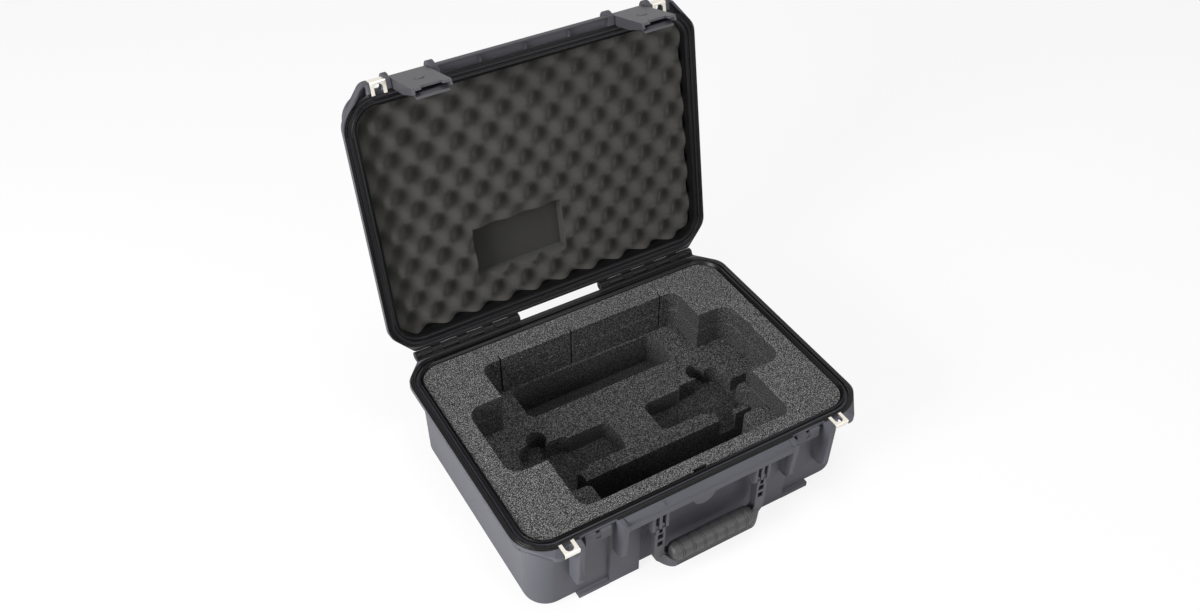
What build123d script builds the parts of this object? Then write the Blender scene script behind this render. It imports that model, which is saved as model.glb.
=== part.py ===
from build123d import *
import math
import os

os.makedirs("parts", exist_ok=True)

# Driving dimensions, in millimetres.
# X runs across the case, +Y to the hinge side, +Z up, z = 0 under the feet.
# Plan dimensions are taken from the middle of the base shell.
# Every finished piece is moved by ORIGIN_Y at the end, so that the origin lies under the
# middle of the whole part with its lid open.
ORIGIN_Y = 53.6

# Interior and walls
FOAM_HX = 235.0          # half width of the interior at the rim
FOAM_HY = 165.0          # half depth of the interior at the rim
FOAM_R = 30.0            # plan corner radius of the interior
WALL = 4.5
DRAFT = 1.25             # mould draft of the walls, in degrees
UNDERSIDE = 3.0          # underside of the base above the feet
FLOOR = 8.0              # inner floor of the base
RIM = 136.0              # top of the base flange
FLANGE_T = 7.0
LID_GAP = 0.5            # gap between the closed flanges
LID_TOP = 193.0          # closed height of the case
LID_SKIN = 4.5
BOTTOM_R = 9.0
LID_EDGE_R = 10.0

# Flange outline
SIDE_X = 252.0
FRONT_Y = -194.5
BACK_Y = 186.0
FRONT_CORNER_X = 218.0
FRONT_CORNER_Y = -152.0
BACK_CORNER_X = 222.0
BACK_CORNER_Y = 152.0

# Latch bays in the front flanges
BAY_IN = 129.7
BAY_OUT = 181.8
BAY_Y = -177.5
BAY_X = (BAY_IN + BAY_OUT) / 2
RIB_W = 7.5

# Hinges
HINGE_Y = 193.0
HINGE_Z = RIM
HINGE_R = 6.0
HINGE_PIN_R = 2.0
HINGE_IN = 66.0
HINGE_OUT = 224.0
BASE_KNUCKLE = 23.6
LID_KNUCKLE = 14.9
KNUCKLE_GAP = 0.6
LID_OPEN = 101.0

# Latches, drawn hooked and then swung open by LATCH_REST
LATCH_W = 50.0
LATCH_PIN_Y = -185.5
LATCH_PIN_Z = RIM + 13.0
LATCH_PIN_R = 1.5
LATCH_FACE_Y = -192.0
LATCH_SIDE_Y = -178.4
LATCH_END_Z = RIM - 68.0
LATCH_REST = 5.0
TRIGGER_Y = -183.4
TRIGGER_Z = RIM - 2.0
TRIGGER_PIN_R = 1.2
CATCH_FRONT = -181.0
CATCH_HALF = 18.0

# Carrying handle
HANDLE_X = 76.0          # middle of each arm
HANDLE_PIN_Y = -188.5
HANDLE_PIN_Z = RIM - 37.0
HANDLE_PIN_R = 2.0
HANDLE_END_Z = RIM - 111.0

# Padlock clips
CLIP_X = 198.5
CLIP_W = 21.0
CLIP_T = 1.5
CLIP_BACK = -177.5
PADLOCK_Y = -186.0
PADLOCK_R = 4.2

# Foam
FOAM_GAP = 0.3
PAD_TOP = 18.0
SHELF_Z = RIM - 65.0
BLOCK_Z = RIM - 33.0
MIXER_X = 156.0          # half width of the mixer pocket
MIXER_Y0 = -144.0
MIXER_Y1 = 131.0
NOTCH_X = 207.0          # half width across the finger notches
NOTCH_Y0 = -57.0
NOTCH_Y1 = 69.0
TRENCH_X = 116.0
BACK_TRENCH = (67.0, 128.0)
FRONT_TRENCH = (-144.0, -65.0)
NEST_Y = -15.0           # line along which both nests lie
NEST_DEPTH = 30.0
FINGER_HOLE_R = 14.0
FINGER_HOLES = ((-128.0, 30.0), (-118.0, -59.0))
LID_FOAM_BASE = 28.0     # solid thickness of the lid foam under its bumps
BUMP_H = 19.0
BUMP_X = 45.5            # spacing of the bumps in a row
BUMP_Y = 25.4            # spacing of the rows
BUMP_X0 = -7.75          # one bump of the pattern
BUMP_Y0 = -9.5
LID_POCKET = (-108.0, 28.0, 43.0, 118.0)
POCKET_DEPTH = 6.0       # how far the lid pocket goes into the slab behind the bumps

# Feet and the proud panels of the front wall above them
FOOT_X = 134.5
FOOT_W = 43.5
FOOT_FRONT_Y = -172.5
FOOT_BACK_Y = 167.5
FOOT_INNER_Y = 112.0

# Rims: offsets from the interior outline
LIP_IN = 3.0             # raised lip of the base
LIP_OUT = 5.4
LIP_H = 2.6
SEAL_IN = 2.2            # channel of the gasket in the lid
SEAL_OUT = 6.4
SEAL_DEPTH = 5.5
LID_CLIP_TOP = RIM + 13.5

# Breather valve in the right end wall
VALVE_Y = 60.0
VALVE_Z = RIM - 34.0
VALVE_R = 7.0
VALVE_CAP_R = 11.0

# Trigger spring
SPRING_R = 2.1
SPRING_WIRE_R = 0.45
SPRING_PITCH = 1.6
SPRING_TURNS = 2.75      # ends pointing down along the lever
SPRING_LEG = 5.5

RUN = 0.05              # radial running clearance on a pin
SEAT = 0.03              # radial clearance of a pin in the ears that hold it


def interior(grow):
    """Plan outline of the interior at the rim, grown outwards."""
    return RectangleRounded(2 * (FOAM_HX + grow), 2 * (FOAM_HY + grow), FOAM_R + grow)


def ring(inner, outer, low, high):
    """Rounded rectangular ring between two offsets of the interior outline."""
    return extrude(Pos(0, 0, low) * (interior(outer) - interior(inner)), high - low)


def drafted(grow, low, high):
    """Upright block that follows the interior, narrower towards the base's floor."""
    shrink = (RIM - low) * math.tan(math.radians(DRAFT))
    return extrude(Pos(0, 0, low) * interior(grow - shrink), high - low, taper=-DRAFT)


def lid_drafted(grow, low, high):
    """Upright block that follows the interior, narrower towards the lid's top."""
    shrink = (low - RIM) * math.tan(math.radians(DRAFT))
    return extrude(Pos(0, 0, low) * interior(grow - shrink), high - low, taper=DRAFT)


def block(x0, x1, y0, y1, z0, z1):
    return Pos(x0, y0, z0) * Box(x1 - x0, y1 - y0, z1 - z0, align=Align.MIN)


def along_x(points, x0, x1):
    """Prism along X of an outline given as (y, z) points."""
    return extrude(Plane.YZ.offset(x0) * Polygon(*points, align=None), x1 - x0)


def rod_x(y, z, radius, x0, x1):
    """Round bar along X."""
    return extrude(Plane.YZ.offset(x0) * Pos(y, z) * Circle(radius), x1 - x0)


def both_sides(shape):
    """The shape and its mirror image across the middle of the case."""
    return shape + mirror(shape, about=Plane.YZ)


def flange_outline():
    """Plan outline of the flange that both shells share."""
    half = [
        (FRONT_CORNER_X, FRONT_Y),
        (SIDE_X, FRONT_CORNER_Y),
        (SIDE_X, BACK_CORNER_Y),
        (BACK_CORNER_X, BACK_Y),
    ]
    other = [(-x, y) for x, y in reversed(half)]
    face = Polygon(*(half + other), align=None)
    corners = face.vertices()
    sharp = [v for v in corners if abs(v.X) > SIDE_X - 1]
    face = fillet(sharp, 26)
    front = [v for v in face.vertices() if v.Y < FRONT_Y + 0.1]
    face = fillet(front, 12)
    back = [v for v in face.vertices() if v.Y > BACK_Y - 0.1]
    return fillet(back, 7)


def bay_cutter(low, high):
    """What is cut from a flange so that a latch can pass."""
    return both_sides(block(BAY_IN, BAY_OUT, FRONT_Y - 10, BAY_Y, low, high))


def knuckle_spans():
    """X spans of the base's and the lid's hinge knuckles on the right side."""
    base_spans = []
    lid_spans = []
    x = HINGE_OUT
    while x - BASE_KNUCKLE > HINGE_IN - 1:
        base_spans.append((x - BASE_KNUCKLE, x))
        x -= BASE_KNUCKLE + KNUCKLE_GAP
        lid_spans.append((x - LID_KNUCKLE, x))
        x -= LID_KNUCKLE + KNUCKLE_GAP
    return base_spans, lid_spans


def knuckles(spans, web_low, web_high, bore):
    """Hinge knuckles with the webs that tie them to the flange's back edge."""
    group = None
    for x0, x1 in spans:
        web = block(x0, x1, BACK_Y - 3, HINGE_Y, web_low, web_high)
        part = web + rod_x(HINGE_Y, HINGE_Z, HINGE_R, x0, x1)
        part -= rod_x(HINGE_Y, HINGE_Z, bore, x0 - 1, x1 + 1)
        group = part if group is None else group + part
    return both_sides(group)


def front_rib(x0, x1, y_top, y_low, z_end):
    """Deep upright rib under the front flange, rounded at its foot."""
    top = RIM - 1
    profile = Polygon((-166, top), (y_top, top), (y_low, z_end), (-166, z_end), align=None)
    foot = [v for v in profile.vertices() if v.Y < z_end + 0.1 and v.X < -170]
    rib = extrude(Plane.YZ.offset(x0) * fillet(foot, 12), x1 - x0)
    return rib


def catch():
    """Catch in a latch bay: a block with a lip that the trigger hooks under."""
    x0 = BAY_X - CATCH_HALF
    x1 = BAY_X + CATCH_HALF
    profile = [
        (-168, RIM - 6), (CATCH_FRONT + 2, RIM - 6), (CATCH_FRONT, RIM - 8), (CATCH_FRONT, RIM - 23),
        (CATCH_FRONT + 2.6, RIM - 23), (CATCH_FRONT + 2.6, RIM - 20), (-168, RIM - 16),
    ]
    body = along_x(profile, x0, x1)
    slot = block(BAY_X - 3, BAY_X + 3, CATCH_FRONT - 1, CATCH_FRONT + 5, RIM - 17, RIM)
    tongue = block(BAY_X - 3, BAY_X + 3, CATCH_FRONT + 1, CATCH_FRONT + 3, RIM - 17, RIM - 9)
    return body - slot + tongue


def handle_bracket():
    """Comb of three ears under the front beam that carries one handle arm."""
    ears = None
    for x in (HANDLE_X - 9.5, HANDLE_X, HANDLE_X + 9.5):
        lobe = rod_x(HANDLE_PIN_Y, HANDLE_PIN_Z, 5.5, x - 2, x + 2)
        arm = along_x(
            [(-168, RIM - 6), (HANDLE_PIN_Y - 5.5, RIM - 6), (HANDLE_PIN_Y - 5.5, HANDLE_PIN_Z),
             (HANDLE_PIN_Y, HANDLE_PIN_Z - 5.2), (-168, HANDLE_PIN_Z - 2)],
            x - 2, x + 2)
        ears = lobe + arm if ears is None else ears + lobe + arm
    bore = rod_x(HANDLE_PIN_Y, HANDLE_PIN_Z, HANDLE_PIN_R + SEAT, HANDLE_X - 20, HANDLE_X + 20)
    return ears - bore


def front_beam():
    """Shelf between the inner ribs, with its lip, end lands and a half round tab."""
    inner = BAY_IN - RIB_W + 1
    profile = [(-168, RIM), (-181, RIM), (-194.5, RIM - 5), (-194.5, RIM - 13), (-191.5, RIM - 13),
               (-190.5, RIM - 9), (-168, RIM - 7)]
    beam = along_x(profile, -inner, inner)
    land = along_x([(-182, RIM - 3), (-182, RIM + 0.2), (-189, RIM - 1.2), (-191, RIM - 5)], 68, inner - 2)
    tab = extrude(Plane.XZ.offset(190.5) * Pos(-13, RIM - 11) * Circle(16.5), 3)
    tab -= block(-40, 20, -200, -185, RIM - 11, RIM + 20)
    return beam + both_sides(land) + tab


def clip_seat(low, high):
    """Shallow seat that lets a padlock clip lie flush with the flange."""
    seat = block(CLIP_X - CLIP_W / 2, CLIP_X + CLIP_W / 2, FRONT_Y - 5, CLIP_BACK, low, high)
    return both_sides(seat)


def padlock_bore():
    return both_sides(Pos(CLIP_X, PADLOCK_Y, RIM) * Cylinder(PADLOCK_R + 0.6, 60))


def padlock_clip(low, high):
    """Stainless clip folded round the flange edge, with a hole for a shackle."""
    x0 = CLIP_X - CLIP_W / 2 + 0.3
    x1 = CLIP_X + CLIP_W / 2 - 0.3
    shape = block(x0, x1, FRONT_Y, CLIP_BACK - 0.3, low, high)
    shape -= block(x0 - 1, x1 + 1, FRONT_Y + CLIP_T, CLIP_BACK + 5, low + CLIP_T, high - CLIP_T)
    outer = [e for e in shape.edges().filter_by(Axis.X) if e.center().Y < FRONT_Y + 0.1]
    shape = fillet(outer, 1.2)
    return shape - Pos(CLIP_X, PADLOCK_Y, RIM) * Cylinder(PADLOCK_R, 60)


def feet():
    """Pads under the corners, in line with the proud panels of the front wall."""
    x1 = FOOT_X + FOOT_W
    pad = block(FOOT_X, x1, FOOT_FRONT_Y, -FOOT_INNER_Y, 0, UNDERSIDE + 6)
    pad += block(FOOT_X, x1, FOOT_INNER_Y, FOOT_BACK_Y, 0, UNDERSIDE + 6)
    pad = chamfer(pad.edges().group_by(Axis.Z)[0], 1.5)
    top_y = -FOAM_HY - WALL - 2.8
    panel = along_x([(-160, 2), (FOOT_FRONT_Y, 2), (top_y, RIM - 4), (-160, RIM - 4)], FOOT_X, x1)
    return both_sides(pad + panel)


def back_ribs():
    """Upright ribs that carry the hinge groups on the back wall."""
    group = None
    for x in (HINGE_IN + 12, (HINGE_IN + HINGE_OUT) / 2, HINGE_OUT - 18):
        rib = along_x([(164, RIM - 6), (BACK_Y - 1, RIM - 6), (BACK_Y - 1, RIM - 16),
                       (FOAM_HY + WALL - 1, RIM - 62), (164, RIM - 62)], x - 3, x + 3)
        group = rib if group is None else group + rib
    return both_sides(group)


def base_shell():
    """Deep moulded shell with its flange, rim, ribs, brackets, catches and feet."""
    outer = drafted(WALL, UNDERSIDE, RIM - FLANGE_T + 1)
    outer = fillet(outer.edges().group_by(Axis.Z)[0], BOTTOM_R)
    plate = extrude(Pos(0, 0, RIM - FLANGE_T) * flange_outline(), FLANGE_T)
    plate -= bay_cutter(RIM - FLANGE_T - 1, RIM + 1)
    plate -= block(-BAY_IN + RIB_W - 1, BAY_IN - RIB_W + 1, FRONT_Y - 5, -181, RIM - FLANGE_T - 1, RIM + 1)
    shell = outer + plate + feet()
    outer_rib = front_rib(BAY_OUT, BAY_OUT + RIB_W, FRONT_Y, -190.5, RIM - 82)
    inner_rib = front_rib(BAY_IN - RIB_W, BAY_IN, FRONT_Y - 1, -191.5, RIM - 68)
    shell += both_sides(outer_rib + inner_rib + handle_bracket())
    shell += both_sides(catch()) + front_beam() + back_ribs()
    shell -= drafted(FOAM_GAP, FLOOR, RIM + 5)
    shell -= ring(-5, LIP_IN, RIM - 1, RIM + 1)
    shell -= ring(LIP_OUT, 9.4, RIM - 2.5, RIM + 1)
    shell += ring(LIP_IN, LIP_OUT, RIM - 1, RIM + LIP_H)
    shell += ring(9.4, 11.2, RIM - 1, RIM + 1.0)
    spans = knuckle_spans()[0]
    shell += knuckles(spans, RIM - 6, RIM - 0.1, HINGE_PIN_R + SEAT)
    shell -= clip_seat(RIM - CLIP_T, RIM + 2) + clip_seat(RIM - 10, RIM - FLANGE_T + CLIP_T)
    shell -= both_sides(block(CLIP_X - CLIP_W / 2, CLIP_X + CLIP_W / 2, FRONT_Y - 5, FRONT_Y + CLIP_T,
                              RIM - 10, RIM + 2))
    shell -= padlock_bore()
    shell -= rod_x(VALVE_Y, VALVE_Z, VALVE_R + 0.02, 200, 260)
    return shell


def pressure_valve():
    """Breather valve pressed through the right end wall, with a slotted cap outside."""
    wall_x = FOAM_HX + WALL - (RIM - VALVE_Z) * math.tan(math.radians(DRAFT))
    cap = rod_x(VALVE_Y, VALVE_Z, VALVE_CAP_R, wall_x + 0.3, wall_x + 3.8)
    cap = fillet(cap.edges().group_by(Axis.X)[-1], 1.5)
    stem = rod_x(VALVE_Y, VALVE_Z, VALVE_R, wall_x - WALL + 0.4, wall_x + 1)
    vents = None
    for turn in range(6):
        slot = Rot(turn * 60, 0, 0) * block(-2, 2, 3.2, 8.2, -0.8, 0.8)
        vents = slot if vents is None else vents + slot
    return cap + stem - Pos(wall_x + 3.8, VALVE_Y, VALVE_Z) * vents


def lid_ears():
    """Round ears at both sides of each latch, with the bore of the latch pin."""
    group = None
    for x0, x1 in ((BAY_IN - 8.2, BAY_IN - 0.2), (BAY_OUT + 0.2, BAY_OUT + 8.2)):
        lobe = rod_x(LATCH_PIN_Y, LATCH_PIN_Z, 12.3, x0, x1)
        root = block(x0, x1, LATCH_PIN_Y, -166, RIM + 3, LATCH_PIN_Z + 12)
        ear = (lobe + root) & block(x0, x1, -200, -160, RIM + LID_GAP, RIM + 40)
        group = ear if group is None else group + ear
    return group


def lid_front_channel():
    """Open channel along the lid's front edge between the latches, with cross webs."""
    half = BAY_IN - 8
    beam = block(-half, half, FRONT_Y, -168, RIM + LID_GAP, RIM + 16)
    hollow = block(-half + 3, half - 3, FRONT_Y + 2.2, -181.5, RIM - 1, RIM + 13)
    beam -= hollow
    for x in (-63, 0, 63):
        beam += block(x - 1.1, x + 1.1, FRONT_Y + 1, -181, RIM + LID_GAP + 1.5, RIM + 14)
        beam += block(x - 3, x + 3, FRONT_Y - 2.6, -168, RIM + 13, RIM + 24)
    return beam


def lid_side_ribs():
    """Upright ribs on the lid's end and back walls."""
    group = None
    for y in (-80, 0, 80):
        rib = Pos(0, y - 3, 0) * extrude(
            Plane.XZ * Polygon((232, RIM + 4), (SIDE_X + 3, RIM + 4), (SIDE_X + 3, RIM + 14),
                               (240, RIM + 34), (232, RIM + 34), align=None), -6)
        group = rib if group is None else group + rib
    group = both_sides(group)
    for x in (-144, 0, 144):
        group += along_x([(160, RIM + 4), (BACK_Y - 1, RIM + 4), (BACK_Y - 1, RIM + 10),
                          (170, RIM + 34), (160, RIM + 34)], x - 3, x + 3)
    return group


def lid_top_relief():
    """Shallow fields in the lid's top that take the feet of another case."""
    sunk = Pos(0, 0, LID_TOP - 1.5) * extrude(RectangleRounded(250, 230, 14), 3)
    for x in (-156.25, 156.25):
        for y in (-140, 140):
            sunk += Pos(x, y, LID_TOP - 3) * extrude(RectangleRounded(48, 42, 4), 6)
    return sunk


def corner_pockets():
    """Hollows under the lid's front corners, beside the padlock clips."""
    inner = offset(flange_outline(), -3.2)
    region = Pos(231, -160) * Rectangle(34, 80)
    pocket = (inner - interior(14)) & region
    return both_sides(extrude(Pos(0, 0, RIM) * pocket, 9))


def lid_shell():
    """Shallow moulded shell, drawn closed."""
    outer = lid_drafted(WALL, RIM + 4, LID_TOP)
    outer = fillet(outer.edges().group_by(Axis.Z)[-1], LID_EDGE_R)
    plate = extrude(Pos(0, 0, RIM + LID_GAP) * flange_outline(), 8)
    front = extrude(Pos(0, 0, RIM + LID_GAP) * (flange_outline() & (Pos(0, -190) * Rectangle(600, 90))), 13)
    front -= block(-400, 400, -168, 0, RIM + 8.5, RIM + 30)
    plate += front
    plate -= corner_pockets()
    plate -= bay_cutter(RIM - 1, RIM + 60)
    plate -= block(-BAY_IN + 8, BAY_IN - 8, FRONT_Y - 5, -181, RIM - 1, RIM + 60)
    shell = outer + plate + lid_front_channel() + both_sides(lid_ears()) + lid_side_ribs()
    shell -= lid_drafted(FOAM_GAP, RIM, LID_TOP - LID_SKIN)
    shell -= ring(SEAL_IN, SEAL_OUT, RIM, RIM + SEAL_DEPTH)
    shell -= ring(8.6, 12.0, RIM, RIM + 2.2)
    shell += ring(SEAL_OUT, 8.6, RIM - 1.6, RIM + 1)
    shell += knuckles(knuckle_spans()[1], RIM + LID_GAP, RIM + 6, HINGE_PIN_R + RUN)
    shell -= lid_top_relief()
    shell -= clip_seat(RIM, RIM + LID_GAP + CLIP_T) + clip_seat(LID_CLIP_TOP - CLIP_T, RIM + 30)
    shell -= both_sides(block(CLIP_X - CLIP_W / 2, CLIP_X + CLIP_W / 2, FRONT_Y - 5, FRONT_Y + CLIP_T,
                              RIM - 1, RIM + 30))
    shell -= padlock_bore()
    shell -= both_sides(rod_x(LATCH_PIN_Y, LATCH_PIN_Z, LATCH_PIN_R + SEAT, BAY_IN - 6.2, BAY_OUT + 6.2))
    return shell


def lid_gasket():
    """Rubber cord seal in the lid's rim channel."""
    return ring(SEAL_IN + 0.2, SEAL_OUT - 0.2, RIM + 3.2, RIM + SEAL_DEPTH)


def latch_body():
    """Channel shaped latch on the right side, drawn hooked."""
    x0 = BAY_X - LATCH_W / 2
    x1 = BAY_X + LATCH_W / 2
    side = Polygon(
        (LATCH_FACE_Y, LATCH_PIN_Z + 2), (LATCH_FACE_Y, LATCH_END_Z + 1), (LATCH_FACE_Y + 7, LATCH_END_Z - 1),
        (LATCH_SIDE_Y - 4, LATCH_END_Z + 12), (LATCH_SIDE_Y, RIM - 34), (LATCH_SIDE_Y, RIM - 2),
        (LATCH_PIN_Y + 4, LATCH_PIN_Z - 2), (LATCH_PIN_Y, LATCH_PIN_Z + 5.5), align=None)
    shape = extrude(Plane.YZ.offset(x0) * side, LATCH_W)
    shape += rod_x(LATCH_PIN_Y, LATCH_PIN_Z, 6.0, x0, x1)
    shape -= block(x0 + 3, x1 - 3, LATCH_FACE_Y + 3, -160, LATCH_END_Z - 5, LATCH_PIN_Z - 7)
    shape -= block(x0 + 12, x1 - 12, LATCH_FACE_Y + 5, LATCH_PIN_Y + 12, LATCH_PIN_Z - 8, LATCH_PIN_Z + 8)
    notch = block(BAY_X - 13.5, BAY_X + 13.5, LATCH_FACE_Y - 1, LATCH_FACE_Y + 4, LATCH_END_Z - 4, LATCH_END_Z + 7)
    shape -= notch
    disc = Pos(BAY_X, 0, RIM - 27) * extrude(Plane.XZ.offset(-LATCH_FACE_Y - 0.5) * Circle(6.5), 1.3)
    shape += disc
    shape -= rod_x(LATCH_PIN_Y, LATCH_PIN_Z, LATCH_PIN_R + RUN, x0 - 1, x1 + 1)
    shape -= rod_x(TRIGGER_Y, TRIGGER_Z, TRIGGER_PIN_R + SEAT, x0 + 1, x1 - 1)
    return shape


def latch_trigger():
    """Inner lever of the right latch: boss, hook and curved finger tab."""
    x0 = BAY_X - 21.4
    x1 = BAY_X + 21.4
    lever = along_x(
        [(-184.9, TRIGGER_Z), (-184.9, RIM - 50), (-184.2, RIM - 60), (-181.2, RIM - 66), (-178.6, RIM - 67),
         (-178.2, RIM - 65), (-180.6, RIM - 62), (-182.0, RIM - 56), (-182.2, RIM - 48), (-182.2, RIM - 28),
         (-179.6, RIM - 25.2), (-179.6, RIM - 23.4), (-180.6, RIM - 23.4), (-182.2, RIM - 22),
         (-182.2, TRIGGER_Z)], x0, x1)
    lever += rod_x(TRIGGER_Y, TRIGGER_Z, 3.0, x0, x1)
    lever -= block(BAY_X - 5, BAY_X + 5, -190, -170, TRIGGER_Z - 7, TRIGGER_Z + 5)
    lever -= rod_x(TRIGGER_Y, TRIGGER_Z, TRIGGER_PIN_R + RUN, x0 - 1, x1 + 1)
    return lever


def trigger_spring():
    """Torsion spring round the trigger pin, between a leg on the latch's face and one on the lever."""
    length = SPRING_PITCH * SPRING_TURNS
    path = Helix(pitch=SPRING_PITCH, height=length, radius=SPRING_R)
    wire = Circle(SPRING_WIRE_R)
    start = Plane(path @ 0, z_dir=path % 0) * wire
    end = Plane(path @ 1, z_dir=path % 1) * wire
    inner_face_y = LATCH_FACE_Y + 3
    spring = sweep(start, path=path, is_frenet=True)
    spring += extrude(start, -(TRIGGER_Y - inner_face_y + 1)) + extrude(end, SPRING_LEG)
    spring = Pos(BAY_X - length / 2, TRIGGER_Y, TRIGGER_Z) * Rot(0, 90, 0) * spring
    return spring - block(BAY_X - 10, BAY_X + 10, LATCH_FACE_Y - 2, inner_face_y, TRIGGER_Z - 10, TRIGGER_Z + 5)


def handle_outline(grow):
    """U of the handle in the X Z plane, grown on all sides."""
    half = HANDLE_X + 8 + grow
    low = HANDLE_END_Z - grow
    face = Polygon((-half, HANDLE_PIN_Z), (-half, low), (half, low), (half, HANDLE_PIN_Z), align=None)
    corner = [v for v in face.vertices() if v.Y < low + 0.1]
    return fillet(corner, max(26 + grow, 4))


def handle_section(shrink):
    """Rounded section of the rubber grip, in the Y Z plane."""
    return Pos(-197, HANDLE_END_Z + 19) * RectangleRounded(24 - 2 * shrink, 25 - 2 * shrink, 10.5 - shrink)


def handle_frame():
    """U shaped handle with forked knuckles, windows in the arms and a bar for the grip."""
    wide = extrude(Plane.XZ.offset(183.5) * (handle_outline(0) - handle_outline(-15)), 11)
    bar = extrude(Plane.YZ.offset(-64) * Pos(-197, HANDLE_END_Z + 6.5) * RectangleRounded(22, 13, 4.5), 128)
    core = block(-60, 60, -201, -193, HANDLE_END_Z + 10, HANDLE_END_Z + 24)
    frame = wide + bar + core
    for side in (-1, 1):
        x = side * HANDLE_X
        for dz in (15.5, 29.5):
            z = HANDLE_PIN_Z - dz
            frame -= block(x - 4, x + 4, -200, -180, z - 4.5, z + 4.5)
        for dx in (-9.5, 0, 9.5):
            frame -= block(x + dx - 2.6, x + dx + 2.6, -200, -180, HANDLE_PIN_Z - 8.5, HANDLE_PIN_Z + 20)
        frame += rod_x(HANDLE_PIN_Y, HANDLE_PIN_Z, 4.6, x - 6.9, x - 2.6)
        frame += rod_x(HANDLE_PIN_Y, HANDLE_PIN_Z, 4.6, x + 2.6, x + 6.9)
        frame -= rod_x(HANDLE_PIN_Y, HANDLE_PIN_Z, HANDLE_PIN_R + RUN, x - 20, x + 20)
    return frame


def handle_grip(frame):
    """Ribbed rubber moulded on the bar."""
    half = 62
    grip = extrude(Plane.YZ.offset(-half) * handle_section(0), 2 * half)
    for i in range(-3, 4):
        x = i * 16.0
        groove = handle_section(-2) - handle_section(0.9)
        grip -= extrude(Plane.YZ.offset(x - 0.8) * groove, 1.6)
    lower = block(-80, 80, -220, -170, HANDLE_END_Z - 5, HANDLE_END_Z + 10)
    return grip - lower - frame


def mixer_pocket(low, high):
    """Main pocket with the finger notches at both ends."""
    main = Pos(0, (MIXER_Y0 + MIXER_Y1) / 2) * RectangleRounded(2 * MIXER_X, MIXER_Y1 - MIXER_Y0, 14)
    ends = Pos(0, (NOTCH_Y0 + NOTCH_Y1) / 2) * RectangleRounded(2 * NOTCH_X, NOTCH_Y1 - NOTCH_Y0, 20)
    return extrude(Pos(0, 0, low) * (main + ends), high - low)


def foam_ring():
    """Upper foam layer, with the mixer pocket, its cuts and a pull notch."""
    layer = drafted(0, SHELF_Z, RIM - 0.5) - mixer_pocket(SHELF_Z - 1, RIM + 1)
    for x in (-126, -16, 131):
        layer -= block(x - 1, x + 1, MIXER_Y1 - 2, MIXER_Y1 + 8, SHELF_Z - 1, RIM)
    return layer - block(-10, 10, -FOAM_HY - 5, -FOAM_HY + 4, RIM - 18, RIM)


def back_trench():
    width = BACK_TRENCH[1] - BACK_TRENCH[0]
    return Pos(0, sum(BACK_TRENCH) / 2) * RectangleRounded(2 * TRENCH_X, width, 10)


def front_trench():
    """Trench behind the front wall, narrower between the two corner blocks."""
    wide = Pos(0, -79) * Rectangle(2 * MIXER_X, 28)
    deep = Pos(0, (FRONT_TRENCH[0] + FRONT_TRENCH[1]) / 2) * RectangleRounded(2 * TRENCH_X, 79, 4)
    return wide + deep


def cradle():
    """Stepped cradle in the shelf on the left, lying along X."""
    shape = Pos(-61.5, NEST_Y) * RectangleRounded(67, 54, 10)
    shape += Pos(-121, NEST_Y) * RectangleRounded(66, 66, 10)
    shape += Pos(-141, NEST_Y) * RectangleRounded(44, 84, 16)
    for x, y in FINGER_HOLES:
        shape += Pos(x, y) * Circle(FINGER_HOLE_R)
    return shape


def foam_shelf():
    """Middle foam layer with two trenches and two facing cradles."""
    layer = drafted(0, PAD_TOP, SHELF_Z)
    deep = extrude(Pos(0, 0, PAD_TOP - 1) * (back_trench() + front_trench()), SHELF_Z - PAD_TOP + 2)
    corner = Pos(MIXER_X / 2 + TRENCH_X / 2 + 0.2, -118.5) * Rectangle(MIXER_X - TRENCH_X + 0.4, 51)
    blocks = extrude(Pos(0, 0, PAD_TOP - 1) * corner, SHELF_Z - PAD_TOP + 2)
    nests = both_sides(extrude(Pos(0, 0, SHELF_Z - NEST_DEPTH) * cradle(), NEST_DEPTH + 1))
    nests += block(150, 190, -22, -8, SHELF_Z - 24, SHELF_Z + 1)
    return layer - deep - both_sides(blocks) - nests


def foam_block():
    """Corner block at the front right, higher than the shelf."""
    x0 = TRENCH_X + 0.4
    x1 = MIXER_X - 0.2
    plan = Pos((x0 + x1) / 2, -118.6) * RectangleRounded(x1 - x0, 50.4, 8)
    outer_corner = Pos(x1 - 15, MIXER_Y0 + 0.2 + 15) * (Pos(7.5, -7.5) * Rectangle(15, 15) - Circle(15))
    return extrude(Pos(0, 0, PAD_TOP) * (plan - outer_corner), BLOCK_Z - PAD_TOP)


def foam_floor():
    return drafted(0, FLOOR, PAD_TOP)


def lid_foam():
    """Convoluted foam, drawn closed: a slab with staggered bumps and one flat pocket."""
    ceiling = LID_TOP - LID_SKIN
    low = ceiling - LID_FOAM_BASE
    slab = lid_drafted(0, low, ceiling)
    x0, x1, y0, y1 = LID_POCKET
    bumps = []
    rows = int(FOAM_HY / BUMP_Y)
    for j in range(-rows, rows + 2):
        y = BUMP_Y0 + j * BUMP_Y
        shift = BUMP_X / 2 if j % 2 else 0.0
        for i in range(-6, 7):
            bumps.append(Pos(BUMP_X0 + i * BUMP_X + shift, y, low) * bump())
    field = Compound(bumps) & lid_drafted(0, RIM + 2, low)
    pocket = block(x0, x1, y0, y1, low - BUMP_H - 1, low + POCKET_DEPTH)
    return slab + field - pocket


def bump():
    """One bump of the convoluted foam: an eight sided frustum, point down."""
    foot = RegularPolygon(17.5, 8, rotation=22.5)
    tip = Pos(0, 0, -BUMP_H) * RegularPolygon(8.0, 8, rotation=22.5)
    return loft([foot, tip], ruled=True)


def opened(shape):
    """Swings a piece that is drawn closed to the lid's open stop."""
    hinge = Pos(0, HINGE_Y, HINGE_Z)
    return hinge * Rot(-LID_OPEN, 0, 0) * hinge.inverse() * shape


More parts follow.
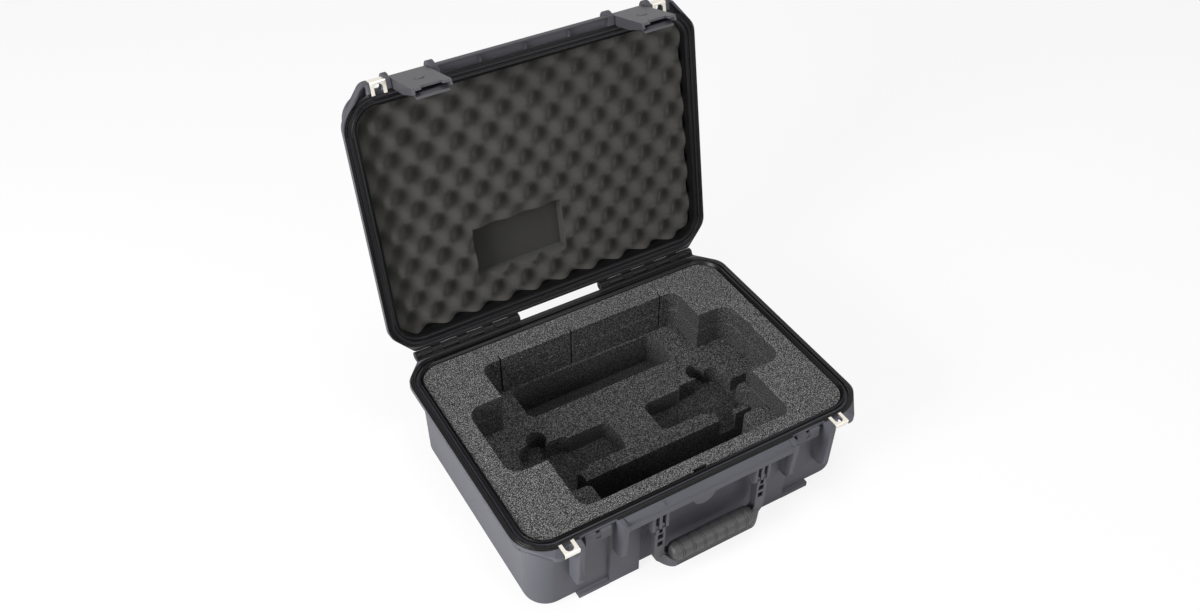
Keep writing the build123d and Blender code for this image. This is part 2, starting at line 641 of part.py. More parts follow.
def unhooked(shape):
    """Swings a latch piece outwards from its hooked place."""
    pivot = Pos(0, LATCH_PIN_Y, LATCH_PIN_Z)
    return pivot * Rot(-LATCH_REST, 0, 0) * pivot.inverse() * shape


def main():
    nodes = {}
    nodes["base_shell"] = base_shell()
    nodes["pressure_valve"] = pressure_valve()
    nodes["foam_floor_pad"] = foam_floor()
    nodes["foam_shelf"] = foam_shelf()
    nodes["foam_upper_ring"] = foam_ring()
    nodes["foam_block_right"] = foam_block()
    nodes["foam_block_left"] = mirror(foam_block(), about=Plane.YZ)
    frame = handle_frame()
    nodes["handle_frame"] = frame
    nodes["handle_grip"] = handle_grip(frame)
    nodes["lid_shell"] = opened(lid_shell())
    nodes["lid_gasket"] = opened(lid_gasket())
    nodes["lid_foam"] = opened(lid_foam())
    right = {
        "hinge_pin": rod_x(HINGE_Y, HINGE_Z, HINGE_PIN_R, HINGE_IN + 1, HINGE_OUT - 0.5),
        "handle_pin": rod_x(HANDLE_PIN_Y, HANDLE_PIN_Z, HANDLE_PIN_R, HANDLE_X - 11.3, HANDLE_X + 11.3),
        "base_padlock_clip": padlock_clip(RIM - FLANGE_T, RIM),
        "lid_padlock_clip": opened(padlock_clip(RIM + LID_GAP, LID_CLIP_TOP)),
        "latch": opened(unhooked(latch_body())),
        "latch_pin": opened(rod_x(LATCH_PIN_Y, LATCH_PIN_Z, LATCH_PIN_R, BAY_IN - 6, BAY_OUT + 6)),
        "latch_trigger": opened(unhooked(latch_trigger())),
        "trigger_pin": opened(unhooked(rod_x(TRIGGER_Y, TRIGGER_Z, TRIGGER_PIN_R, BAY_X - 23.8, BAY_X + 23.8))),
        "trigger_spring": opened(unhooked(trigger_spring())),
    }
    for name, shape in right.items():
        nodes[name + "_right"] = shape
        nodes[name + "_left"] = mirror(shape, about=Plane.YZ)
    low = min(s.bounding_box().min.Y for s in nodes.values())
    high = max(s.bounding_box().max.Y for s in nodes.values())
    print("middle of the part in Y:", round((low + high) / 2, 2), "origin at", ORIGIN_Y)
    for name, shape in nodes.items():
        export_step(Pos(0, -ORIGIN_Y, 0) * shape, f"parts/{name}.step")


main()
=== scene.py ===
import math

import bmesh
import bpy
from mathutils import Matrix, Vector


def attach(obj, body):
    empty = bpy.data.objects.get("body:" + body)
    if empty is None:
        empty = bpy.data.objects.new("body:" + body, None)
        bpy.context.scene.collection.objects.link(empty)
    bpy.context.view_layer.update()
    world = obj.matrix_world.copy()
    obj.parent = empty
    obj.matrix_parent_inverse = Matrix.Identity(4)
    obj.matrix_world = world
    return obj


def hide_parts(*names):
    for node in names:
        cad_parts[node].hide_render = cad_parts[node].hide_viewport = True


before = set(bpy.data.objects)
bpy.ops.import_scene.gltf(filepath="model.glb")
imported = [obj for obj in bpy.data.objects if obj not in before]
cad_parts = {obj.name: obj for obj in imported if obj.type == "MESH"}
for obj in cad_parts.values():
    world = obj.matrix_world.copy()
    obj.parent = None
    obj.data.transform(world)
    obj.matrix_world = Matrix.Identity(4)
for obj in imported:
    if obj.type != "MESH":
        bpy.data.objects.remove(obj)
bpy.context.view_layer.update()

MM = 0.001

# Dimensions of the case, in millimetres from the middle of the base shell
ORIGIN_Y = 53.6
RIM = 136.0
HINGE_Y = 193.0
LID_OPEN = 101.0
LID_CEILING = 188.5

# Places on the two shells that their pieces change
FLANGE_SIDE = 252.0
FLANGE_FRONT = -194.5
CHANNEL_HALF = 121.4
CHANNEL_BACK = -167.9
END_RIBS = (-80.0, 0.0, 80.0)
RIB_HALF = 3.0
LID_WALL = 4.5
DRAFT = 1.25
FLANGE_TOP = 8.5
CLIP_X = 198.5
PADLOCK_Y = -186.0
PADLOCK_R = 4.2
NOTCH_R = 5.6

# Rubber grip of the handle
GRIP_HALF = 62.0
GRIP_SIZE = (24.0, 25.0)
GRIP_ROUND = 0.86
GRIP_Y = -197.0
GRIP_Z = 44.0
LIP_TOP = 35.0
RING_PITCH = 16.0
GROOVE_GAP = 1.5

# Lip of the handle frame, and the corners that it follows
ARM_FRONT = -194.5
ARM_BACK = -183.5
LIP_FRONT = -208.0
LIP_BACK = -186.0
LIP_HALF = 58.0
LIP_R = 26.0
LIP_MIDDLE_Z = 51.0
LIP_THICK = 13.0
LIP_TURN = 66.0
LIP_STEPS = 12

# Fine ridges of both rims, by their distance outside the interior
RIDGES_FROM = 11.6
RIDGE_PITCH = 2.2
BAND_WIDTH = 16.6
KNUCKLES_FROM = 182.2
FOAM_HX = 235.0
FOAM_HY = 165.0
FOAM_R = 30.0
SHELF_Z = 71.0
BLOCK_Z = 103.0
FOAM_TOP = 135.5
TRENCH_Z = 20.0

# Convoluted foam of the lid
SLAB = 28.0
BUMP_H = 19.0
BUMP_X = 45.5
BUMP_Y = 25.4
BUMP_PHASE_X = -7.75
BUMP_PHASE_Y = -9.5
POCKET = (-108.0, 28.0, 43.0, 118.0)
POCKET_DEPTH = 6.0
PIT_DEPTH = -3.0
CALM_WIDTH = 13.0


def linear(code):
    """Linear colour of an sRGB hex code."""
    channels = [int(code[i:i + 2], 16) / 255 for i in (1, 3, 5)]
    return tuple([c / 12.92 if c <= 0.04045 else ((c + 0.055) / 1.055) ** 2.4 for c in channels] + [1.0])


def per_mm(size):
    """Scale of a pattern whose features are that many millimetres apart."""
    return 1 / (size * MM)


# Camera at the photograph's viewing angle
EYE = Vector((-588.0, -899.1 - ORIGIN_Y, 1235.7)) * MM
AZIMUTH = -30.97
ELEVATION = 41.78
ROLL = 0.5
LENS = 34.81


def place_camera():
    data = bpy.data.cameras.new("camera")
    data.lens = LENS
    data.sensor_width = 36.0
    camera = bpy.data.objects.new("camera", data)
    bpy.context.scene.collection.objects.link(camera)
    turn = Matrix.Rotation(math.radians(AZIMUTH), 4, "Z")
    tilt = Matrix.Rotation(math.radians(90 - ELEVATION), 4, "X")
    roll = Matrix.Rotation(math.radians(ROLL), 4, "Z")
    camera.matrix_world = Matrix.Translation(EYE) @ turn @ tilt @ roll
    bpy.context.scene.camera = camera


place_camera()


def add(tree, kind, inputs=None, **settings):
    """Adds a node with its settings, and gives its inputs values or links."""
    made = tree.nodes.new(kind)
    for name, value in settings.items():
        setattr(made, name, value)
    for socket, value in (inputs or {}).items():
        if isinstance(value, bpy.types.NodeSocket):
            tree.links.new(value, made.inputs[socket])
        else:
            made.inputs[socket].default_value = value
    return made


def new_material(name):
    material = bpy.data.materials.new(name)
    material.use_nodes = True
    material.node_tree.nodes.clear()
    return material, material.node_tree


def finish_material(tree, shader):
    add(tree, "ShaderNodeOutputMaterial", {"Surface": shader.outputs[0]})


def closed_place(tree, opened):
    """Position on a shell as it is with the lid closed, from the middle of the base."""
    place = add(tree, "ShaderNodeTexCoord").outputs["Object"]
    shift = Vector((0.0, ORIGIN_Y * MM, 0.0))
    turn = Matrix.Rotation(math.radians(LID_OPEN if opened else 0.0), 3, "X")
    hinge = Vector((0.0, (HINGE_Y - ORIGIN_Y) * MM, RIM * MM))
    moved = hinge - turn @ hinge + shift
    return add(tree, "ShaderNodeMapping", {"Vector": place, "Location": moved,
                                           "Rotation": (turn.to_euler().x, 0.0, 0.0)}).outputs[0]


def from_interior(tree, closed):
    """Plan distance outwards from the rounded outline of the interior, in metres."""
    flat = add(tree, "ShaderNodeVectorMath", {0: closed, 1: (1.0, 1.0, 0.0)}, operation="MULTIPLY").outputs[0]
    folded = add(tree, "ShaderNodeVectorMath", {0: flat}, operation="ABSOLUTE").outputs[0]
    core = ((FOAM_HX - FOAM_R) * MM, (FOAM_HY - FOAM_R) * MM, 0.0)
    beyond = add(tree, "ShaderNodeVectorMath", {0: folded, 1: core}, operation="SUBTRACT").outputs[0]
    outside = add(tree, "ShaderNodeVectorMath", {0: beyond, 1: (0.0, 0.0, 0.0)}, operation="MAXIMUM").outputs[0]
    reach = add(tree, "ShaderNodeVectorMath", {0: outside}, operation="LENGTH").outputs["Value"]
    return add(tree, "ShaderNodeMath", {0: reach, 1: FOAM_R * MM}, operation="SUBTRACT").outputs[0]


def textured_polypropylene(name, wall, painted_dark_colour, opened):
    """Injection moulded polypropylene: spark eroded walls that look grey in the light, and smoother sealing faces
    round
    the rims, with fine ridges outside the sealing line. The sealing faces and the hinge knuckles are painted near
    black:
    a painted dark reflection and painted shade on what is one black plastic."""
    material, tree = new_material(name)
    closed = closed_place(tree, opened)
    axes = add(tree, "ShaderNodeSeparateXYZ", {"Vector": closed})
    away = from_interior(tree, closed)
    low, high = (RIM + 2.8, RIM + 1.6) if opened else (RIM - 1.9, RIM - 1.3)
    level = add(tree, "ShaderNodeMapRange", {"Value": axes.outputs["Z"], "From Min": low * MM, "From Max": high * MM})
    near = add(tree, "ShaderNodeMapRange",
               {"Value": away, "From Min": (BAND_WIDTH + 0.3) * MM, "From Max": BAND_WIDTH * MM})
    rim = add(tree, "ShaderNodeMath", {0: level.outputs["Result"], 1: near.outputs["Result"]},
              operation="MULTIPLY")
    behind = add(tree, "ShaderNodeMapRange",
                 {"Value": axes.outputs["Y"], "From Min": KNUCKLES_FROM * MM, "From Max": (KNUCKLES_FROM + 0.5) * MM})
    off = add(tree, "ShaderNodeMath", {0: axes.outputs["Z"], 1: RIM * MM}, operation="SUBTRACT")
    beside = add(tree, "ShaderNodeMath", {0: off.outputs[0]}, operation="ABSOLUTE")
    knuckle = add(tree, "ShaderNodeMapRange",
                  {"Value": beside.outputs[0], "From Min": 8.5 * MM, "From Max": 8.0 * MM})
    hinge = add(tree, "ShaderNodeMath", {0: behind.outputs["Result"], 1: knuckle.outputs["Result"]},
                operation="MULTIPLY")
    # Sealing faces and hinge knuckles, painted near black: painted dark reflection on the sealing faces, painted
    # shade on the knuckles.
    painted_dark_band = add(tree, "ShaderNodeMath", {0: rim.outputs[0], 1: hinge.outputs[0]}, operation="MAXIMUM").outputs[0]
    # On the lid, the inside above the foam is painted the same near black, as painted shade.
    if opened:
        within = add(tree, "ShaderNodeMapRange", {"Value": away, "From Min": 0.9 * MM, "From Max": 0.5 * MM})
        under = add(tree, "ShaderNodeMapRange",
                    {"Value": axes.outputs["Z"], "From Min": (LID_CEILING + 0.6) * MM,
                     "From Max": (LID_CEILING + 0.2) * MM})
        ceiling_painted_shade = add(tree, "ShaderNodeMath", {0: within.outputs["Result"], 1: under.outputs["Result"]},
                     operation="MULTIPLY")
        painted_dark_band = add(tree, "ShaderNodeMath", {0: painted_dark_band, 1: ceiling_painted_shade.outputs[0]}, operation="MAXIMUM").outputs[0]
    cloud = add(tree, "ShaderNodeTexNoise", {"Vector": closed, "Scale": per_mm(70), "Detail": 3.0})
    patch = add(tree, "ShaderNodeMix", {0: cloud.outputs["Fac"], 6: linear(wall[0]), 7: linear(wall[1])},
                data_type="RGBA")
    # The near black mixed over the grey walls is painted dark reflection and painted shade, not a second plastic.
    colour = add(tree, "ShaderNodeMix", {0: painted_dark_band, 6: patch.outputs[2], 7: linear(painted_dark_colour)}, data_type="RGBA")
    rough = add(tree, "ShaderNodeMapRange", {"Value": painted_dark_band, "To Min": 0.5, "To Max": 0.36})
    spark = add(tree, "ShaderNodeTexNoise", {"Vector": closed, "Scale": per_mm(0.9), "Detail": 2.0})
    wave = add(tree, "ShaderNodeMath", {0: away, 1: 2 * math.pi / (RIDGE_PITCH * MM)}, operation="MULTIPLY")
    crest = add(tree, "ShaderNodeMath", {0: wave.outputs[0]}, operation="SINE")
    beyond = add(tree, "ShaderNodeMapRange",
                 {"Value": away, "From Min": (RIDGES_FROM - 0.2) * MM, "From Max": RIDGES_FROM * MM})
    where = add(tree, "ShaderNodeMath", {0: beyond.outputs["Result"], 1: painted_dark_band}, operation="MULTIPLY")
    ridges = add(tree, "ShaderNodeMath", {0: crest.outputs[0], 1: where.outputs[0]}, operation="MULTIPLY")
    soft_edge = add(tree, "ShaderNodeBevel", {"Radius": 0.7 * MM}, samples=4)
    fine = add(tree, "ShaderNodeBump",
               {"Height": ridges.outputs[0], "Strength": 1.0, "Distance": 0.22 * MM,
                "Normal": soft_edge.outputs[0]})
    grain = add(tree, "ShaderNodeBump",
                {"Height": spark.outputs["Fac"], "Strength": 0.35, "Distance": 0.12 * MM,
                 "Normal": fine.outputs[0]})
    shader = add(tree, "ShaderNodeBsdfPrincipled",
                 {"Base Color": colour.outputs[2], "Roughness": rough.outputs["Result"], "IOR": 1.49,
                  "Specular IOR Level": 0.2, "Normal": grain.outputs[0]})
    finish_material(tree, shader)
    return material


def satin_nylon():
    """Glass filled nylon of the latches: a touch lighter and finer than the shells."""
    material, tree = new_material("satin_nylon")
    place = add(tree, "ShaderNodeTexCoord").outputs["Object"]
    cloud = add(tree, "ShaderNodeTexNoise", {"Vector": place, "Scale": per_mm(25), "Detail": 3.0})
    colour = add(tree, "ShaderNodeMix", {0: cloud.outputs["Fac"], 6: linear("#353539"), 7: linear("#3d3d41")},
                 data_type="RGBA")
    spark = add(tree, "ShaderNodeTexNoise", {"Vector": place, "Scale": per_mm(0.8), "Detail": 2.0})
    soft_edge = add(tree, "ShaderNodeBevel", {"Radius": 0.6 * MM}, samples=4)
    grain = add(tree, "ShaderNodeBump",
                {"Height": spark.outputs["Fac"], "Strength": 0.3, "Distance": 0.1 * MM,
                 "Normal": soft_edge.outputs[0]})
    shader = add(tree, "ShaderNodeBsdfPrincipled",
                 {"Base Color": colour.outputs[2], "Roughness": 0.46, "IOR": 1.53, "Normal": grain.outputs[0]})
    finish_material(tree, shader)
    return material


def moulded_rubber(name, code, roughness):
    """Moulded rubber: matt, with a fine dusting of grain."""
    material, tree = new_material(name)
    place = add(tree, "ShaderNodeTexCoord").outputs["Object"]
    dust = add(tree, "ShaderNodeTexNoise", {"Vector": place, "Scale": per_mm(1.1), "Detail": 3.0})
    soft_edge = add(tree, "ShaderNodeBevel", {"Radius": 0.5 * MM}, samples=4)
    grain = add(tree, "ShaderNodeBump",
                {"Height": dust.outputs["Fac"], "Strength": 0.4, "Distance": 0.1 * MM,
                 "Normal": soft_edge.outputs[0]})
    spread = add(tree, "ShaderNodeMapRange",
                 {"Value": dust.outputs["Fac"], "To Min": roughness - 0.08, "To Max": roughness + 0.08})
    shader = add(tree, "ShaderNodeBsdfPrincipled",
                 {"Base Color": linear(code), "Roughness": spread.outputs["Result"], "IOR": 1.52,
                  "Normal": grain.outputs[0]})
    finish_material(tree, shader)
    return material


def brushed_stainless(name, code, roughness):
    """Brushed stainless sheet: bright, with fine lines across the fold."""
    material, tree = new_material(name)
    place = add(tree, "ShaderNodeTexCoord").outputs["Object"]
    stretched = add(tree, "ShaderNodeMapping", {"Vector": place, "Scale": (1.0, 14.0, 14.0)})
    lines = add(tree, "ShaderNodeTexNoise", {"Vector": stretched.outputs[0], "Scale": per_mm(4), "Detail": 3.0})
    spread = add(tree, "ShaderNodeMapRange",
                 {"Value": lines.outputs["Fac"], "To Min": roughness - 0.08, "To Max": roughness + 0.1})
    soft_edge = add(tree, "ShaderNodeBevel", {"Radius": 0.3 * MM}, samples=4)
    shader = add(tree, "ShaderNodeBsdfPrincipled",
                 {"Base Color": linear(code), "Metallic": 1.0, "Roughness": spread.outputs["Result"],
                  "Normal": soft_edge.outputs[0]})
    finish_material(tree, shader)
    return material


def cut_open_cell_foam():
    """Sawn and punched foam: dark cells, painted darkest in their middles as painted shade, and pale flecks painted
    on as glints off the torn cell rims, so that it sparkles from near. The cells are drawn nearly 2 mm apart, coarser
    than the real ones, so that they show. The cut faces below the top skin, and the lower tops of the blocks and the
    shelf, are
    painted darker the lower they lie: painted shade."""
    material, tree = new_material("cut_open_cell_foam")
    place = add(tree, "ShaderNodeTexCoord").outputs["Object"]
    cells = add(tree, "ShaderNodeTexVoronoi", {"Vector": place, "Scale": per_mm(1.7), "Randomness": 1.0})
    flecks = add(tree, "ShaderNodeTexNoise", {"Vector": place, "Scale": per_mm(1.3), "Detail": 2.0})
    cloud = add(tree, "ShaderNodeTexNoise", {"Vector": place, "Scale": per_mm(24), "Detail": 2.0})
    # Pale flecks: painted glints of the torn cell rims.
    painted_glint = add(tree, "ShaderNodeMapRange", {"Value": flecks.outputs["Fac"], "From Min": 0.48, "From Max": 0.65})
    # Cell middles darkened: painted shade inside the cells.
    cell_painted_shade = add(tree, "ShaderNodeMapRange",
                 {"Value": cells.outputs["Distance"], "From Min": 0.55, "From Max": 0.15, "To Min": 0.0,
                  "To Max": 1.0})
    walls = add(tree, "ShaderNodeMix", {0: cloud.outputs["Fac"], 6: linear("#212121"), 7: linear("#2a2a2a")},
                data_type="RGBA")
    dark = add(tree, "ShaderNodeMix", {0: cell_painted_shade.outputs["Result"], 6: walls.outputs[2], 7: linear("#0e0e0e")},
               data_type="RGBA")
    colour = add(tree, "ShaderNodeMix",
                 {0: painted_glint.outputs["Result"], 6: dark.outputs[2], 7: linear("#929292")}, data_type="RGBA")
    height = add(tree, "ShaderNodeSeparateXYZ", {"Vector": place}).outputs["Z"]
    # Painted shade: cut faces and the lower tops are darkened, the deeper the darker, and the top faces at each level
    # get a painted light.
    painted_depth_shade = add(tree, "ShaderNodeMapRange",
               {"Value": height, "From Min": TRENCH_Z * MM, "From Max": SHELF_Z * MM, "To Min": 0.25,
                "To Max": 0.4}).outputs["Result"]
    for level, light in ((FOAM_TOP, 1.0), (BLOCK_Z, 0.7), (SHELF_Z, 0.58)):
        off = add(tree, "ShaderNodeMath", {0: height, 1: level * MM}, operation="SUBTRACT")
        beside = add(tree, "ShaderNodeMath", {0: off.outputs[0]}, operation="ABSOLUTE")
        skin = add(tree, "ShaderNodeMapRange",
                   {"Value": beside.outputs[0], "From Min": 1.5 * MM, "From Max": 1.0 * MM, "To Max": light})
        painted_depth_shade = add(tree, "ShaderNodeMath", {0: painted_depth_shade, 1: skin.outputs["Result"]}, operation="MAXIMUM").outputs[0]
    shaded = add(tree, "ShaderNodeVectorMath", {0: colour.outputs[2], "Scale": painted_depth_shade}, operation="SCALE")
    bump = add(tree, "ShaderNodeBump",
               {"Height": flecks.outputs["Fac"], "Strength": 1.0, "Distance": 1.4 * MM})
    shader = add(tree, "ShaderNodeBsdfPrincipled",
                 {"Base Color": shaded.outputs[0], "Roughness": 0.85, "IOR": 1.35, "Normal": bump.outputs[0]})
    finish_material(tree, shader)
    return material


def convoluted_foam():
    """Open cell polyurethane foam: fine, dark and dull, grey on the peaks and painted a little darker in the pits as
    painted shade.
    """
    material, tree = new_material("convoluted_foam")
    closed = closed_place(tree, True)
    depth = add(tree, "ShaderNodeSeparateXYZ", {"Vector": closed}).outputs["Z"]
    # Painted shade: towards the pits the colour turns to a flat, darker grey.
    pit = add(tree, "ShaderNodeMapRange",
              {"Value": depth, "From Min": (LID_CEILING - SLAB - 0.75 * BUMP_H) * MM,
               "From Max": (LID_CEILING - SLAB + PIT_DEPTH) * MM}).outputs["Result"]
    cells = add(tree, "ShaderNodeTexNoise", {"Vector": closed, "Scale": per_mm(1.2), "Detail": 4.0})
    peaks = add(tree, "ShaderNodeMix", {0: cells.outputs["Fac"], 6: linear("#252423"), 7: linear("#41403d")},
                data_type="RGBA")
    colour = add(tree, "ShaderNodeMix", {0: pit, 6: peaks.outputs[2], 7: linear("#2d2c2b")}, data_type="RGBA")
    bump = add(tree, "ShaderNodeBump",
               {"Height": cells.outputs["Fac"], "Strength": 0.6, "Distance": 0.4 * MM})
    shader = add(tree, "ShaderNodeBsdfPrincipled",
                 {"Base Color": colour.outputs[2], "Roughness": 0.95, "IOR": 1.35, "Sheen Weight": 0.1,
                  "Sheen Roughness": 0.5, "Normal": bump.outputs[0]})
    finish_material(tree, shader)
    return material


def opened_matrix():
    hinge = Matrix.Translation(Vector((0, (HINGE_Y - ORIGIN_Y), RIM)) * MM)
    return hinge @ Matrix.Rotation(math.radians(-LID_OPEN), 4, "X") @ hinge.inverted()


# The third colour, #0c0c0d, is the painted near black of the sealing faces and hinge knuckles: painted dark
# reflection and painted shade.
base_plastic = textured_polypropylene("base_polypropylene", ("#4a4a50", "#54545b"), "#0c0c0d", False)
lid_plastic = textured_polypropylene("lid_polypropylene", ("#414146", "#49494f"), "#0c0c0d", True)
nylon = satin_nylon()
handle_plastic = nylon
grip_rubber = moulded_rubber("grip_rubber", "#343435", 0.5)
seal_rubber = moulded_rubber("seal_rubber", "#101010", 0.55)
stainless = brushed_stainless("brushed_stainless", "#e6e0d6", 0.3)
ground_steel = brushed_stainless("ground_steel", "#b9b4ac", 0.34)
# Hinge pins are drawn in a darker steel than the other pins: painted shade inside the hinge.
hinge_pin_shaded_steel = brushed_stainless("steel_painted_shade", "#57534e", 0.4)
base_foam_look = cut_open_cell_foam()
lid_foam_look = convoluted_foam()

LOOKS = {
    "base_shell": base_plastic,
    "lid_shell": lid_plastic,
    "lid_gasket": seal_rubber,
    "pressure_valve": nylon,
    "handle_frame": handle_plastic,
    "handle_grip": grip_rubber,
}
for side in ("right", "left"):
    for part in ("latch", "latch_trigger"):
        LOOKS[f"{part}_{side}"] = nylon
    for part in ("hinge_pin", "handle_pin", "latch_pin", "trigger_pin", "trigger_spring"):
        LOOKS[f"{part}_{side}"] = ground_steel
    LOOKS[f"hinge_pin_{side}"] = hinge_pin_shaded_steel
    for part in ("base_padlock_clip", "lid_padlock_clip"):
        LOOKS[f"{part}_{side}"] = stainless

for name, look in LOOKS.items():
    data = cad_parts[name].data
    data.materials.clear()
    data.materials.append(look)


def new_piece(name, shape, look):
    """Object with its place in its mesh, from a bmesh in metres."""
    mesh = bpy.data.meshes.new(name)
    shape.to_mesh(mesh)
    shape.free()
    mesh.materials.append(look)
    piece = bpy.data.objects.new(name, mesh)
    bpy.context.scene.collection.objects.link(piece)
    return piece


def drawn_closed(node, opened):
    """Copy of a node's form in millimetres, as it is with the lid closed, from the middle of the base."""
    shape = bmesh.new()
    shape.from_mesh(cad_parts[node].data)
    back = opened_matrix().inverted() if opened else Matrix.Identity(4)
    place = Matrix.Scale(1 / MM, 4) @ Matrix.Translation((0, ORIGIN_Y * MM, 0)) @ back
    bmesh.ops.transform(shape, matrix=place, verts=shape.verts)
    bmesh.ops.remove_doubles(shape, verts=shape.verts, dist=0.01)
    return shape


def put_in_place(name, node, shape, look, body, opened):
    """Makes the piece that stands for a node, turned back to where the node is."""
    turn = opened_matrix() if opened else Matrix.Identity(4)
    place = turn @ Matrix.Translation((0, -ORIGIN_Y * MM, 0)) @ Matrix.Scale(MM, 4)
    bmesh.ops.transform(shape, matrix=place, verts=shape.verts)
    bmesh.ops.dissolve_degenerate(shape, dist=0.001 * MM, edges=shape.edges)
    for face in shape.faces:
        face.smooth = True
    piece = new_piece(name, shape, look)
    piece.data.set_sharp_from_angle(angle=math.radians(28))
    piece.modifiers.new("flat faces stay flat", "WEIGHTED_NORMAL").keep_sharp = True
    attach(piece, body)
    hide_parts(node)
    return piece


def without_rib(shape, side, rib):
    """Takes one rib off the lid's end wall and closes the flange and the wall over its root."""
    sheath = []
    for face in shape.faces:
        middle = face.calc_center_median()
        if middle.x * side < FOAM_HX or max(abs(v.co.y - rib) for v in face.verts) > RIB_HALF + 0.05:
            continue
        wall = FOAM_HX + LID_WALL - (middle.z - RIM) * math.tan(math.radians(DRAFT))
        if middle.x * side > (wall + 0.05 if middle.z > RIM + FLANGE_TOP + 0.02 else FLANGE_SIDE + 0.02):
            sheath.append(face)
    bmesh.ops.delete(shape, geom=sheath, context="FACES")
    chains = []
    for edge in shape.edges:
        a, b = edge.verts
        root = max(abs(a.co.y - rib), abs(b.co.y - rib)) < RIB_HALF + 0.05 and a.co.x * side > FOAM_HX
        if edge.is_boundary and root and abs(a.co.y - b.co.y) < 1.0:
            chains.append(edge)
    bmesh.ops.bridge_loops(shape, edges=chains)


def lid_with_low_channel():
    """Lid shell with plain end walls, and its front channel no higher than the flange."""
    shape = drawn_closed("lid_shell", True)
    for side in (-1, 1):
        region = [e for e in shape.edges if min(v.co.y for v in e.verts) < CHANNEL_BACK]
        near = {v for e in region for v in e.verts}
        faces = [f for f in shape.faces if all(v in near for v in f.verts)]
        bmesh.ops.bisect_plane(shape, geom=list(near) + region + faces,
                               plane_co=(side * CHANNEL_HALF, 0, 0), plane_no=(1, 0, 0))
    for v in shape.verts:
        x, y, z = v.co
        if abs(x) <= CHANNEL_HALF + 0.01 and y < CHANNEL_BACK and RIM + 12.9 < z < RIM + 24.5:
            lower = RIM + 6 + (z - RIM - 13) * 2.5 / 3
            v.co.z = min(lower, RIM + 8.5)
            v.co.y = max(y, FLANGE_FRONT)
    for side in (-1, 1):
        for rib in END_RIBS:
            without_rib(shape, side, rib)
    put_in_place("lid_shell_moulded", "lid_shell", shape, lid_plastic, "lid", True)


def base_with_flat_beam():
    """Base shell with the top of its front beam almost level, over a crisp front lip."""
    shape = drawn_closed("base_shell", False)
    for v in shape.verts:
        x, y, z = v.co
        if abs(x) < 124 and y < FLANGE_FRONT + 0.1 and abs(z - (RIM - 5)) < 0.3:
            v.co.z = RIM - 2.8
    put_in_place("base_shell_moulded", "base_shell", shape, base_plastic, "case_base", False)


def notched_clip(node, side, body, opened):
    """Padlock clip with both leaves notched round the padlock hole."""
    shape = drawn_closed(node, opened)
    cx = side * CLIP_X
    for v in shape.verts:
        dx = v.co.x - cx
        dy = v.co.y - PADLOCK_Y
        reach = math.hypot(dx, dy)
        if reach < PADLOCK_R + 0.2:
            v.co.x = cx + dx * NOTCH_R / reach
            v.co.y = PADLOCK_Y + dy * NOTCH_R / reach
    for point, normal in (((cx - NOTCH_R, 0, 0), (1, 0, 0)), ((cx + NOTCH_R, 0, 0), (1, 0, 0)),
                          ((0, PADLOCK_Y, 0), (0, 1, 0))):
        bmesh.ops.bisect_plane(shape, geom=shape.verts[:] + shape.edges[:] + shape.faces[:],
                               plane_co=point, plane_no=normal)
    inside = []
    for face in shape.faces:
        middle = face.calc_center_median()
        if abs(middle.x - cx) < NOTCH_R + 0.01 and middle.y > PADLOCK_Y:
            inside.append(face)
    bmesh.ops.delete(shape, geom=inside, context="FACES")
    bmesh.ops.remove_doubles(shape, verts=shape.verts, dist=0.02)
    bmesh.ops.holes_fill(shape, edges=[e for e in shape.edges if e.is_boundary], sides=0)
    bmesh.ops.recalc_face_normals(shape, faces=shape.faces)
    put_in_place(node + "_notched", node, shape, stainless, body, opened)


def tube(shape, rings, segments):
    """Tube of rings one unit apart along X, of radius 1, with flat ends; gives its vertices."""
    first = bmesh.ops.create_circle(shape, segments=segments, radius=1.0, cap_ends=True)["verts"]
    for v in first:
        v.co = (0.0, v.co.x, v.co.y)
    loop = list({e for v in first for e in v.link_edges})
    made = set(first)
    for ring in range(1, rings):
        out = bmesh.ops.extrude_edge_only(shape, edges=loop)
        ends = {g for g in out["geom"] if isinstance(g, bmesh.types.BMVert)}
        loop = [g for g in out["geom"] if isinstance(g, bmesh.types.BMEdge) and ends.issuperset(g.verts)]
        for v in ends:
            v.co.x = ring
        made |= ends
    bmesh.ops.contextual_create(shape, geom=loop)
    return made


def squarer(value, power):
    """Pushes a coordinate of a unit circle outwards, so that the circle turns into a rounded square."""
    return math.copysign(abs(value) ** power, value)


def ribbed_grip():
    """Rubber grip with domed ends and pairs of fine rings, resting on the frame's lip."""
    stations = [(-GRIP_HALF, 0.45), (-GRIP_HALF + 0.8, 0.66), (-GRIP_HALF + 3, 0.86), (-GRIP_HALF + 7, 0.98)]
    for ring in range(-3, 4):
        for groove in (-GROOVE_GAP, GROOVE_GAP):
            at = ring * RING_PITCH + groove
            stations += [(at - 0.8, 1.0), (at - 0.3, 0.94), (at + 0.3, 0.94), (at + 0.8, 1.0)]
    stations += [(-x, size) for x, size in stations[3::-1]]
    shape = bmesh.new()
    for v in tube(shape, len(stations), 40):
        x, size = stations[round(v.co.x)]
        y = squarer(v.co.y, GRIP_ROUND) * size * GRIP_SIZE[0] / 2
        z = squarer(v.co.z, GRIP_ROUND) * size * GRIP_SIZE[1] / 2
        v.co = (x, GRIP_Y + y, max(GRIP_Z + z, LIP_TOP))
    bmesh.ops.recalc_face_normals(shape, faces=shape.faces)
    put_in_place("handle_grip_ringed", "handle_grip", shape, grip_rubber, "handle", False)


